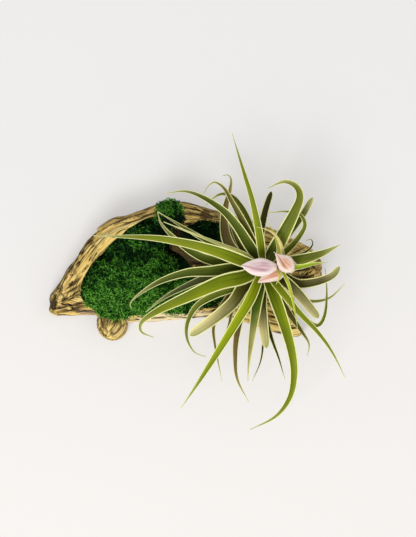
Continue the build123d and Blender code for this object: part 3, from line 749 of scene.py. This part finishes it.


# Patches of colour on the wood, some of them painted shade and painted highlights: plan pixel of the centre, half sizes
# in pixels, turn, colour and strength
PATCHES = (
    (53.5, 304, 3.4, 9, 0, "#1C140E", 0.92),
    (64, 300, 3.6, 2.6, 20, "#3A332E", 0.8),
    (60, 287, 3, 5, 30, "#4A3A28", 0.6),
    # Partly painted shade: mauve on the snout's underside, in this patch and the next
    (70, 307, 15, 2.4, 8, "#8A6A60", 0.6),
    (87, 312, 13, 2.8, -6, "#A78E88", 0.8),
    (70, 266, 2.6, 20, 38, "#4A3A28", 0.55),
    (90, 241, 2.4, 8, 45, "#4A3826", 0.45),
    (206, 215, 8, 4.5, -12, "#4A2E26", 0.8),
    # Painted shade: near black on the ridge deep in the hollow
    (187, 256, 22, 17, 0, "#1C1008", 0.9),
    (190, 213, 13, 3, -4, "#5A3B26", 0.6),
    (300, 276, 15, 2.6, -4, "#3A281A", 0.7),
    # Painted highlight: cream on the front rim, lit from the front
    (180, 317, 50, 6.5, 1, "#FFF2CE", 0.96),
    # Painted highlight: cream on the front edge by the knob
    (131, 325, 12, 3.5, 14, "#F4DDA6", 0.8),
    (104, 322, 3.5, 9, -10, "#6B4A2C", 0.6),
    # Painted highlight: cream on the knob's front
    (117, 330, 6, 4, 20, "#F6E0A4", 0.6),
    # Painted highlight: cream on the front edge of the right end
    (272, 333, 14, 3, -6, "#DCCB9C", 0.5),
    (150, 203, 16, 1.8, 20, "#6A5236", 0.5),
    (318, 268, 3, 8, 0, "#6E4A30", 0.6),
    (66, 293, 7, 2.4, 25, "#EBCB8C", 0.5),
)

# The grain: metres that one unit of its coordinates stands for, where the front edge's count starts, and how
# often its furrows, fine lines and cracks repeat along, across and up in one unit
GRAIN_UNIT = 0.1
FRONT_START = 700.0
FURROW_GRAIN = (1.6, 16.0, 16.0)
FINE_GRAIN = (4.0, 46.0, 46.0)
CRACK_GRAIN = (1.1, 12.0, 12.0)
LUMPS_PER_METRE = 34.0
LUMP_HEIGHT = 1.5 * MM
FLAP_HEIGHT = 3.4 * MM

# The wood's own browns and straws between the colours that its settings give, and the dark of its flank, which is
# partly painted shade
SEAM = (0.030, 0.015, 0.008)
STREAK_DARK, STREAK_BROWN, STREAK_STRAW = (0.05, 0.025, 0.010), (0.27, 0.15, 0.05), (0.96, 0.73, 0.26)
BAND_DARK, BAND_BROWN, BAND_STRAW = (0.12, 0.062, 0.025), (0.42, 0.25, 0.085), (0.97, 0.75, 0.29)
FLANK_DARK = (0.045, 0.030, 0.022)


def plan_spots(points):
    """The plan pixels that the points lie under."""
    return np.column_stack([points[:, 0] / PIXEL + ORIGIN_PIXEL[0], ORIGIN_PIXEL[1] - points[:, 1] / PIXEL])


def beside_line(spots, line):
    """How far the spots are from the line through the points, how far along it that is, and its length."""
    nearest, along, gone = np.full(len(spots), np.inf), np.zeros(len(spots)), 0.0
    for start, end in zip(line, line[1:]):
        way = end - start
        reach = np.linalg.norm(way)
        share = np.clip((spots - start) @ way / reach ** 2, 0, 1)
        away = np.linalg.norm(spots - start - share[:, None] * way, axis=1)
        closer = away < nearest
        nearest = np.where(closer, away, nearest)
        along = np.where(closer, gone + share * reach, along)
        gone += reach
    return nearest, along, gone


def grain_flow(points):
    """Coordinates that run along the wood's grain, along its outline, in from it and up, and the plan pixels."""
    table = np.array(WOOD_STATIONS, dtype=float)
    spots = plan_spots(points)
    back, along_back = beside_line(spots, table[:, (0, 1)])[:2]
    front, along_front = beside_line(spots, table[:, (0, 2)])[:2]
    nearest = np.minimum(back, front)
    along = np.where(front < back, FRONT_START + along_front, along_back)
    knob = plan(KNOB_PIXEL)
    reach = np.hypot(points[:, 0] - knob[0], points[:, 1] - knob[1])
    turn = np.arctan2(points[:, 1] - knob[1], points[:, 0] - knob[0])
    on_knob = ease(KNOB_RADIUS * 1.15, KNOB_RADIUS * 0.9, reach)[:, None]
    sway = 1.6 * MM * rough(points, 45.0, 71, 2)
    on_wood = np.column_stack([along * PIXEL, nearest * PIXEL + sway, points[:, 2]]) / GRAIN_UNIT
    lean = turn - KNOB_GRAIN - 0.25 * np.sin(turn)
    on_head = np.column_stack([reach * np.cos(lean), reach * np.sin(lean) + sway, points[:, 2]]) / GRAIN_UNIT
    return on_wood * (1 - on_knob) + on_head * on_knob, spots


def wood_patches(spots):
    """The patches' colour and strength at the plan pixels."""
    colour, strength = np.zeros((len(spots), 3)), np.zeros(len(spots))
    edge = 0.35 * rough(np.column_stack([spots, spots[:, 0] * 0]), 0.35, 44, 2)
    for x, y, wide, high, turn, tint, share in PATCHES:
        angle = math.radians(turn)
        way, lift = spots[:, 0] - x, y - spots[:, 1]
        inside = np.hypot((way * math.cos(angle) + lift * math.sin(angle)) / wide,
                          (lift * math.cos(angle) - way * math.sin(angle)) / high)
        here = ease(1.25, 0.7, inside + edge) * share
        colour = np.where((here > strength)[:, None], paint(tint), colour)
        strength = np.maximum(strength, here)
    return colour, strength


def wood_finish(settings):
    """Weathered wood: ochre bands, cream crests and dark furrows along the grain, the furrows partly painted shade, a
    grey brown flank, partly painted shade, and patches, some of them painted shade and painted highlights.
    """
    material, shader, node = finish("weathered driftwood", 0.75)
    flow = read(node, "grain_place").outputs["Vector"]

    def grain(along, across, detail, rough_share):
        return noise(node, stretched(node, flow, (along, across, across)), 1.0, detail, rough_share)

    fine, band, line = grain(4.0, 70.0, 5.0, 0.7), grain(1.6, 17.0, 3.0, 0.6), grain(2.0, 24.0, 2.0, 0.5)
    body, crest = tuple(settings.body_colour), tuple(settings.crest_colour)
    streaks = ramp(node, fine, [(0.27, STREAK_DARK), (0.35, STREAK_BROWN), (0.44, body), (0.57, STREAK_STRAW),
                                (0.69, crest)])
    bands = ramp(node, band, [(0.26, BAND_DARK), (0.36, BAND_BROWN), (0.45, body), (0.59, BAND_STRAW),
                              (0.72, crest)])
    wood = mix(node, 0.5, streaks, bands)
    # The flank's grey brown mottle: partly the bark's colour, partly painted shade
    grey = mix(node, ramp(node, fine, [(0.35, BLACK), (0.65, WHITE)]), FLANK_DARK, tuple(settings.flank_colour))
    wood = mix(node, read(node, "flank").outputs["Fac"], wood, grey)
    # Patches, some of them painted shade and painted highlights
    patch = mix(node, 0.3, read(node, "patch_colour").outputs["Color"], streaks, "MULTIPLY")
    wood = mix(node, read(node, "patch").outputs["Fac"], wood, patch)
    seam = ramp(node, line, [(0.462, BLACK), (0.482, WHITE), (0.512, WHITE), (0.532, BLACK)])
    where = ramp(node, band, [(0.44, WHITE), (0.62, (0.15, 0.15, 0.15))])
    wood = mix(node, mix(node, 1.0, seam, where, "MULTIPLY"), wood, SEAM)
    # Darker in the furrows and cracks: partly the wood's own dark grain, partly painted shade in the recesses
    wood = mix(node, read(node, "groove").outputs["Fac"], wood, tuple(settings.groove_colour))
    height = math_node(node, "SUBTRACT", fine, math_node(node, "MULTIPLY", seam, 0.7))
    coat(shader, Base_Color=wood, Normal=bump(node, height, 1.0, 0.9 * MM))
    return material


def groove_depths(points, lines):
    """Depth in metres of the grooves at each point, and how far it is into one, from 0 to 1."""
    depth, inside = np.zeros(len(points)), np.zeros(len(points))
    wander = 1 + 0.5 * rough(points, 260.0, 9)
    for half, deep, pixels in lines:
        nearest, along, whole = beside_line(points[:, :2], [plan(pixel) for pixel in pixels])
        fade = np.sin(math.pi * np.clip(0.06 + 0.88 * along / whole, 0, 1)) ** 0.6
        share = np.clip(1 - nearest / (half * MM * wander * (0.4 + 0.6 * fade)), 0, 1)
        depth = np.maximum(depth, deep * MM * fade * share ** 0.7)
        inside = np.maximum(inside, share ** 0.5 * fade)
    return depth, inside


def bark_flap(points, out, spots):
    """Where the raised flap of bark stands on the back of the wood, from 0 to 1."""
    return (ease(97.8, 99.6, spots[:, 0]) * ease(128, 114, spots[:, 0]) * ease(0.5, 0.0, out[:, 2])
            * ease(0.2, 0.6, out[:, 1]) * ease(12 * MM, 22 * MM, points[:, 2]))


def clear_socket(points):
    """Keeps the socket's wall and floor free for the stem's foot."""
    centre = plan(STEM_PIXEL)
    away = points[:, :2] - centre
    reach = np.linalg.norm(away, axis=1)
    inside = reach < SOCKET_RADIUS
    wall = inside & (points[:, 2] > SOCKET_FLOOR + 1.0 * MM)
    floor = inside & ~wall
    points[wall, :2] = centre + away[wall] * (SOCKET_RADIUS / np.maximum(reach[wall], 0.1 * MM))[:, None]
    points[floor, 2] = np.minimum(points[floor, 2], SOCKET_FLOOR)
    return points


class PLANT_OT_driftwood(bpy.types.Operator):
    """Carves the grain, furrows and cracks of the driftwood over its fixed form"""
    bl_idname = "air_plant.driftwood"
    bl_label = "Driftwood"

    def execute(self, context):
        settings = context.scene.air_plant_wood
        wood = copy_node("driftwood", "driftwood_carved")
        add_modifier(wood, "REMESH", mode="VOXEL", voxel_size=settings.voxel)
        add_modifier(wood, "SMOOTH", factor=0.5, iterations=2)
        points = places(wood)
        out = normals(wood)
        flow, spots = grain_flow(points)
        furrow = rough(flow * FURROW_GRAIN, 1.0, 11, 3)
        fine = rough(flow * FINE_GRAIN, 1.0, 23, 2)
        crack = ease(0.92, 1.0, 1 - np.abs(rough(flow * CRACK_GRAIN, 1.0, 51, 2)))
        lumps = rough(points, LUMPS_PER_METRE, 37, 3)
        grooves, inside = groove_depths(points, GROOVES + KNOB_GROOVES)
        top = ease(0.15, 0.6, out[:, 2]) * ease(12.0 * MM, 18.0 * MM, points[:, 2])
        above = ease(0.0, 4.0 * MM, points[:, 2])
        push = (settings.furrow * (0.5 * furrow + 0.22 * fine) + LUMP_HEIGHT * lumps - settings.crack * 0.6 * crack
                + FLAP_HEIGHT * bark_flap(points, out, spots))
        from_stem = np.linalg.norm(points[:, :2] - plan(STEM_PIXEL), axis=1)
        push = push * ease(SOCKET_RADIUS, 1.6 * SOCKET_RADIUS, from_stem)
        points = points + out * (push * above)[:, None]
        points[:, 2] = np.maximum(points[:, 2] - grooves * top, 0)
        put(wood, clear_socket(points))
        # Dark in the cracks, furrows and grooves: partly the wood's own grain, partly painted shade in the recesses
        dark = np.maximum(0.8 * crack, 0.75 * ease(0.6, 1.25, -furrow - 0.4 * fine))
        patch_colour, patch = wood_patches(spots)
        stamp(wood.data, "patch_colour", patch_colour)
        stamp(wood.data, "patch", patch)
        stamp(wood.data, "groove", np.clip(np.maximum(dark, inside * top), 0, 1))
        # Flank share: sideways faces turn grey brown, partly as painted shade; faces towards the front much less, as
        # painted light from the front
        stamp(wood.data, "flank", ease(0.45, 0.05, out[:, 2]) * (0.8 - 0.55 * ease(0.0, 0.5, -out[:, 1])))
        stamp(wood.data, "grain_place", flow)
        wood.data.materials.append(wood_finish(settings))
        alone(wood)
        bpy.ops.object.shade_smooth_by_angle(angle=math.radians(60))
        settle(wood, "holder", "driftwood", "driftwood")
        return {"FINISHED"}


def moss_finish(settings):
    """Moss: nearly black between the strands and green along them to yellow green at bright ends, a gradient that is
    partly painted shade deep in the cushion.
    """
    material, shader, node = finish("curled moss", 0.8)
    grain = noise(node, own_place(node), 700.0)
    shade, bright = tuple(settings.shade_colour), tuple(settings.bright_colour)
    # The height attribute is the place along a strand times the painted brightness of moss_light
    colour = ramp(node, read(node, "height").outputs["Fac"],
                  [(0.0, shade), (0.28, MOSS_MIDDLE), (0.60, bright), (1.0, MOSS_TIPS)])
    colour = mix(node, ramp(node, grain, [(0.35, (0.4, 0.4, 0.4)), (0.55, BLACK)]), colour, shade)
    coat(shader, Base_Color=colour, Normal=bump(node, grain, 0.5, 0.4 * MM))
    return material


def moss_lumps(points):
    """The clumps that the moss grows in: 1 in the middle of one, down to -1 in the gaps between them."""
    spots = points * (1, 1, 0) + (rough(points, 90.0, 315, 2) * 2.0 * MM)[:, None] * (1, -1, 0)
    spots = spots / CLUMP
    cells = np.floor(spots).astype(np.int64)
    nearest = np.full(len(points), 9.0)
    second = np.full(len(points), 9.0)
    for across in (-1, 0, 1):
        for up in (-1, 0, 1):
            cell = cells + (across, up, 0)
            cell[:, 2] = 0
            place = cell[:, :2] + np.column_stack([scatter(cell, 321), scatter(cell, 322)])
            away = np.linalg.norm(spots[:, :2] - place, axis=1)
            second = np.minimum(second, np.maximum(nearest, away))
            nearest = np.minimum(nearest, away)
    return 2 * ease(0.0, 0.55, second - nearest) - 1


def moss_light(points):
    """How bright the moss is painted: painted shade under the high back rim, towards the stem under the leaves and in
    the gaps between clumps, painted light on the back tuft where it stands on the rim, and a random tone.
    """
    spots = plan_spots(points)
    table = np.array(WOOD_STATIONS, dtype=float)
    back = np.interp(spots[:, 0], table[:, 0], table[:, 1])
    # Painted shade under the high back rim
    rim = ease(24, 62, spots[:, 1] - back)
    # Painted shade towards the stem, under the leaves
    stem = ease(205, 160, spots[:, 0])
    # Clumps: painted shade in the gaps between them, with a random tone
    clump = 0.30 + 0.32 * moss_lumps(points) + 0.42 * rough(points * (1, 1, 0), 42.0, 307, 2)
    # Painted light where the back tuft stands on the rim; lower, in the hollow, the painted shade holds
    tuft = ease(219, 212, spots[:, 1]) * 0.95
    return np.clip(0.30 + 0.72 * np.maximum(rim * (0.2 + 0.8 * stem), tuft) + clump - 0.42, 0.03, 1.1)


def make_strand(length, width):
    """One curled strand, drawn out of a three-sided ring as by hand; it stands on the origin."""
    bpy.ops.object.select_all(action="DESELECT")
    bpy.ops.mesh.primitive_circle_add(vertices=3, radius=width / 2, fill_type="NGON")
    strand = bpy.context.active_object
    bpy.ops.object.mode_set(mode="EDIT")
    bpy.ops.mesh.select_all(action="SELECT")
    heading = 0.0
    for bend in (0.3, 0.6, 0.9, 1.1):
        heading += bend
        shift = length / 4
        bpy.ops.mesh.extrude_region_move(TRANSFORM_OT_translate={
            "value": (shift * math.sin(heading), 0, shift * math.cos(heading))})
        bpy.ops.transform.resize(value=(0.82, 0.82, 0.82))
    bpy.ops.mesh.merge(type="CENTER")
    bpy.ops.mesh.select_all(action="SELECT")
    bpy.ops.mesh.normals_make_consistent(inside=False)
    bpy.ops.object.mode_set(mode="OBJECT")
    return strand


def faces_of(mesh):
    return [list(face.vertices) for face in mesh.polygons]


def upward_faces(mesh):
    return [face for face in mesh.polygons if face.normal.z > -0.2]


def sow(base, strand, count, chance):
    """The corners of count strands that stand on the cushion, turned and sized by chance, and their feet."""
    faces = upward_faces(base.data)
    weights = np.array([face.area for face in faces])
    chosen = chance.choice(len(faces), size=count, p=weights / weights.sum())
    middle = np.array([faces[i].center for i in chosen]) + chance.normal(0, STRAND_SPREAD * MM, (count, 3))
    up = np.array([faces[i].normal for i in chosen]) * 0.8 + chance.normal(0, STRAND_SPREAD, (count, 3))
    up /= np.linalg.norm(up, axis=1)[:, None]
    side = np.cross(up, chance.normal(0, 1, (count, 3)))
    side /= np.linalg.norm(side, axis=1)[:, None]
    third = np.cross(up, side)
    size = chance.uniform(0.55, 1.1, count)
    tufts = (strand[None, :, 0, None] * side[:, None] + strand[None, :, 1, None] * third[:, None]
             + strand[None, :, 2, None] * up[:, None]) * size[:, None, None]
    tufts = tufts + (middle - up * STRAND_FOOT)[:, None]
    tufts[:, :, 2] += (CLUMP_SWELL * moss_lumps(middle) - 0.8 * MM)[:, None]
    return tufts, middle


class PLANT_OT_moss(bpy.types.Operator):
    """Covers each cushion of moss with curled strands"""
    bl_idname = "air_plant.moss"
    bl_label = "Moss"

    def execute(self, context):
        settings = context.scene.air_plant_moss
        material = moss_finish(settings)
        pattern = make_strand(settings.strand_length, settings.strand_width)
        strand = places(pattern)
        strand_faces = faces_of(pattern.data)
        # Darker towards a strand's foot: partly painted shade deep in the cushion
        strand_height = 0.25 + 0.75 * np.arange(len(strand)) / len(strand)
        bpy.data.objects.remove(pattern)
        bases = {name: copy_node(name, name + "_cushion") for name in MOSS_NODES}
        for base in bases.values():
            add_modifier(base, "REMESH", mode="VOXEL", voxel_size=1.6 * MM)
        areas = {name: sum(face.area for face in upward_faces(base.data)) for name, base in bases.items()}
        most = max(areas.values())
        for seed, (name, base) in enumerate(bases.items()):
            chance = np.random.default_rng(700 + seed)
            points = places(base)
            out = normals(base)
            grown = CLUMP_SWELL * moss_lumps(points) - 1.4 * MM
            points = points + out * (grown * ease(0.0, 0.5, out[:, 2]))[:, None]
            count = int(settings.strands * areas[name] / most)
            tufts, middle = sow(base, strand, count, chance)
            all_points = np.vstack([points, tufts.reshape(-1, 3)])
            faces = faces_of(base.data)
            for first in range(len(points), len(all_points), len(strand)):
                faces.extend([corner + first for corner in face] for face in strand_faces)
            cushion = new_piece(name + "_strands", all_points, faces)
            # Painted light and shade: a strand is as bright as moss_light at its foot, with random spread; the cushion
            # under the strands gets a quarter of that, as painted shade
            light = moss_light(middle)[:, None] * chance.uniform(0.4, 1.7, (count, 1))
            heights = np.concatenate([0.25 * moss_light(points), (strand_height[None] * light).ravel()])
            stamp(cushion.data, "height", np.clip(heights, 0, 1))
            cushion.data.materials.append(material)
            alone(cushion)
            bpy.ops.object.shade_smooth()
            settle(cushion, "holder", "moss", name)
            bpy.data.objects.remove(base)
        return {"FINISHED"}


def bract_finish(settings):
    """A bract's skin: its own painted tint under fine long veins."""
    material, shader, node = finish("flower bract", 0.5)
    veins = noise(node, stretched(node, read(node, "vein_place").outputs["Vector"], (1.5, 9.0, 9.0)), 1.0, 4.0)
    tint = read(node, "tint").outputs["Color"]
    deep = mix(node, 1.0, tint, tuple(settings.vein_colour), "MULTIPLY")
    skin = mix(node, ramp(node, veins, [(0.38, (0.8, 0.8, 0.8)), (0.58, BLACK)]), tint, deep)
    coat(shader, Base_Color=skin, Normal=bump(node, veins, 0.5, 0.4 * MM))
    return material


def boat(share, peak, base, point):
    """Half width of a bract along it: a base, its fullest place, and a pointed tip."""
    before = base + (1 - base) * np.sin(np.clip(share / peak, 0, 1) * math.pi / 2)
    after = np.cos(np.clip((share - peak) / (1 - peak), 0, 1) * math.pi / 2) ** point
    return np.where(share < peak, before, np.maximum(after, 0.03))


def fold_line(share, side, width):
    """1 on the fold that crosses a bract from its base to its tip, falling to 0 beside it."""
    return np.exp(-((side - 0.45 + 0.5 * share) / width) ** 2)


def tint_bract(bract, share, side, up, tints, seed):
    """Stamps a bract's colours on it: a pale rim, a clouded middle, a streak along the fold, which is painted shade on
    the top bract, and its base.
    """
    rim, middle, streak, mouth = (paint(tint) for tint in tints)
    cloud = 0.5 + 0.5 * rough(np.column_stack([share * 3, side * 1.6, up]), 1.0, 950 + seed, 3) / 1.5
    heart = np.clip(1 - (side / 0.75) ** 2, 0, 1) * np.sin(math.pi * share ** 0.8) * cloud * 1.5
    heart = np.clip(heart, 0, 1)[:, None]
    tint = rim * (1 - heart) + middle * heart
    # The streak along the fold; on the top bract its dark brown is painted shade in the fold
    line = (fold_line(share, side, 0.13) * ease(0.1, 0.4, share) * 0.8)[:, None]
    tint = tint * (1 - line) + streak * line
    end = ease(0.22, 0.0, share)[:, None]
    stamp(bract.data, "tint", tint * (1 - end) + mouth * end)
    stamp(bract.data, "vein_place", np.column_stack([share, side, up]))


class PLANT_OT_flower_head(bpy.types.Operator):
    """Shapes the four bracts of the flower head"""
    bl_idname = "air_plant.flower_head"
    bl_label = "Flower head"

    def execute(self, context):
        settings = context.scene.air_plant_head
        material = bract_finish(settings)
        for seed, (name, (level, wide, deep, peak, point, tints, pixels)) in enumerate(BRACTS.items()):
            bpy.ops.object.select_all(action="DESELECT")
            bpy.ops.mesh.primitive_uv_sphere_add(segments=48, ring_count=48, radius=0.5,
                                                 rotation=(0, math.radians(90), 0))
            bract = bpy.context.active_object
            bract.name = name + "_scale"
            bract.location.x = 0.5
            height = HEAD_BASE + HEAD_HEIGHT * level
            guide, length = midrib([np.array([*plan(pixel), height]) for pixel in pixels], name + " line")
            bpy.ops.object.transform_apply(location=True, rotation=True, scale=False)
            shape = places(bract)
            share = np.clip(shape[:, 0], 0, 1)
            ball = np.maximum(2 * np.sqrt(np.maximum(share * (1 - share), 1e-6)), 0.02)
            side, up = shape[:, 1] / ball * 2, shape[:, 2] / ball * 2
            size = boat(share, peak, 0.35, point)
            keel = 1 + 0.16 * np.exp(-(side / 0.16) ** 2) * (up > 0)
            fold = 0.22 * fold_line(share, side, 0.12) * (up > 0) * np.sin(math.pi * share)
            ripple = 1 + 0.05 * rough(np.column_stack([share * 6, side * 3, up * 3]), 1.0, 900 + seed, 2)
            shape[:, 0] *= length
            shape[:, 1] = side / 2 * size * ripple * BRACT_WIDTH * wide
            shape[:, 2] = up / 2 * size * (keel - fold) * ripple * BRACT_THICKNESS * deep
            put(bract, shape)
            add_modifier(bract, "CURVE", object=guide, deform_axis="POS_X")
            bpy.data.objects.remove(guide)
            tint_bract(bract, share, side, up, tints, seed)
            bract.data.materials.append(material)
            alone(bract)
            bpy.ops.object.shade_smooth()
            settle(bract, "air_plant", "bract", name)
        return {"FINISHED"}


def plain_finish(name, roughness, scale, detail, stops, strength, depth):
    """A finish of one noise that both colours and roughens the piece."""
    material, shader, node = finish(name, roughness)
    grain = noise(node, stretched(node, own_place(node), scale), 1.0, detail)
    coat(shader, Base_Color=ramp(node, grain, stops), Normal=bump(node, grain, strength, depth))
    return material


class PLANT_OT_core(bpy.types.Operator):
    """Finishes the stem, the flower's stalk and the liner pad"""
    bl_idname = "air_plant.core"
    bl_label = "Stem and pad"

    def execute(self, context):
        rings = plain_finish("leafy stem", 0.7, (120.0, 120.0, 900.0), 4.0,
                             [(0.3, (0.03, 0.03, 0.01)), (0.7, (0.13, 0.11, 0.04))], 0.6, 0.5 * MM)
        for name in ("stem", "scape"):
            NODES[name].data.materials.clear()
            NODES[name].data.materials.append(rings)
        pad = copy_node("pad", "liner_pad")
        add_modifier(pad, "REMESH", mode="VOXEL", voxel_size=1.5 * MM)
        points = places(pad)
        put(pad, points + normals(pad) * (0.5 * MM * rough(points, 300.0, 5, 2) - 0.4 * MM)[:, None])
        coir = plain_finish("coir liner", 0.9, (900.0, 900.0, 900.0), 5.0,
                            [(0.35, (0.010, 0.007, 0.004)), (0.7, (0.048, 0.030, 0.014))], 0.8, 0.6 * MM)
        pad.data.materials.append(coir)
        bpy.ops.object.shade_smooth()
        settle(pad, "holder", "pad", "pad")
        return {"FINISHED"}


# The soft lamps: name, place, and the setting that holds the power
LAMPS = (
    ("key lamp", (-0.8, -1.6, 2.6), "key_power"),
    ("fill lamp", (1.5, 0.9, 2.4), "fill_power"),
)
LAMP_SIZE = 1.5
FLOOR_SIZE = 6.0
FLOOR_DROP = 0.2 * MM
SENSOR_WIDTH = 36.0


def floor_finish(settings):
    """A pale matt floor, cooler and a touch darker towards the back as painted fall-off of the warm light from the
    front, whose shadows stay soft for the camera.
    """
    material, shader, node = finish("pale floor", 0.9)
    place = own_place(node)
    tint = tuple(settings.floor_colour)
    # Painted light: the floor cools and darkens a little towards the back, away from the warm front light
    back = slope(node, node("ShaderNodeSeparateXYZ", {0: place}).outputs[1], -0.2, 0.15)
    tone = mix(node, back, tint, (tint[0] * 0.955, tint[1] * 0.97, tint[2] * 0.985))
    tone = mix(node, math_node(node, "MULTIPLY", noise(node, place, 4.0), 0.02), tone, (0.5, 0.5, 0.5))
    seen = node("ShaderNodeLightPath").outputs["Is Camera Ray"]
    glow = math_node(node, "MULTIPLY", seen, settings.floor_glow)
    coat(shader, Base_Color=mix(node, glow, tone, BLACK), Emission_Color=tone, Emission_Strength=glow)
    return material


class PLANT_OT_stage(bpy.types.Operator):
    """Lays the pale floor, hangs the soft lamps and stands the camera straight above"""
    bl_idname = "air_plant.stage"
    bl_label = "Stage"

    def execute(self, context):
        settings = context.scene.air_plant_stage
        scene = context.scene
        bpy.ops.object.select_all(action="DESELECT")
        bpy.ops.mesh.primitive_plane_add(size=FLOOR_SIZE, location=(0, 0, -FLOOR_DROP))
        floor = context.active_object
        floor.name = "floor"
        bpy.ops.object.transform_apply(location=True, rotation=False, scale=False)
        floor.data.materials.append(floor_finish(settings))

        world = bpy.data.worlds.new("studio")
        scene.world = world
        world.use_nodes = True
        light = world.node_tree.nodes["Background"].inputs
        light["Color"].default_value = (1, 0.995, 0.98, 1)
        light["Strength"].default_value = settings.world_strength
        for name, place, power in LAMPS:
            bpy.ops.object.light_add(type="AREA", location=place)
            lamp = context.active_object
            lamp.name = name
            lamp.data.size = LAMP_SIZE
            lamp.data.energy = getattr(settings, power)
            lamp.rotation_euler = (-Vector(place)).to_track_quat("-Z", "Y").to_euler()

        lens = bpy.data.cameras.new("camera")
        lens.sensor_width = SENSOR_WIDTH
        lens.lens = SENSOR_WIDTH * settings.distance / (PICTURE[1] * PIXEL)
        lens.clip_end = 20.0
        camera = bpy.data.objects.new("camera", lens)
        camera.location = (*plan((PICTURE[0] / 2, PICTURE[1] / 2)), settings.distance)
        scene.collection.objects.link(camera)
        scene.camera = camera
        scene.view_settings.view_transform = "Standard"
        return {"FINISHED"}


STEPS = ("driftwood", "moss", "core", "leaves", "flower_head", "stage")


class PLANT_PT_panel(bpy.types.Panel):
    """Lists the steps that build the air plant holder's looks"""
    bl_idname = "PLANT_PT_panel"
    bl_label = "Air plant holder"
    bl_space_type = "VIEW_3D"
    bl_region_type = "UI"
    bl_category = "Air plant"

    def draw(self, context):
        for step in STEPS:
            self.layout.operator("air_plant." + step)
        for settings in SETTINGS:
            box = self.layout.box()
            group = getattr(context.scene, settings)
            for key in group.bl_rna.properties.keys():
                if key not in ("rna_type", "name"):
                    box.prop(group, key)


SETTINGS = {
    "air_plant_wood": WoodSettings,
    "air_plant_moss": MossSettings,
    "air_plant_leaves": LeafSettings,
    "air_plant_head": HeadSettings,
    "air_plant_stage": StageSettings,
}
CLASSES = (*SETTINGS.values(), PLANT_OT_driftwood, PLANT_OT_moss, PLANT_OT_core, PLANT_OT_leaves,
           PLANT_OT_flower_head, PLANT_OT_stage, PLANT_PT_panel)


def register():
    for made in CLASSES:
        bpy.utils.register_class(made)
    for name, group in SETTINGS.items():
        setattr(bpy.types.Scene, name, PointerProperty(type=group))


def unregister():
    for name in SETTINGS:
        delattr(bpy.types.Scene, name)
    for made in reversed(CLASSES):
        bpy.utils.unregister_class(made)


def main():
    register()
    for step in STEPS:
        getattr(bpy.ops.air_plant, step)()


if __name__ == "__main__":
    main()
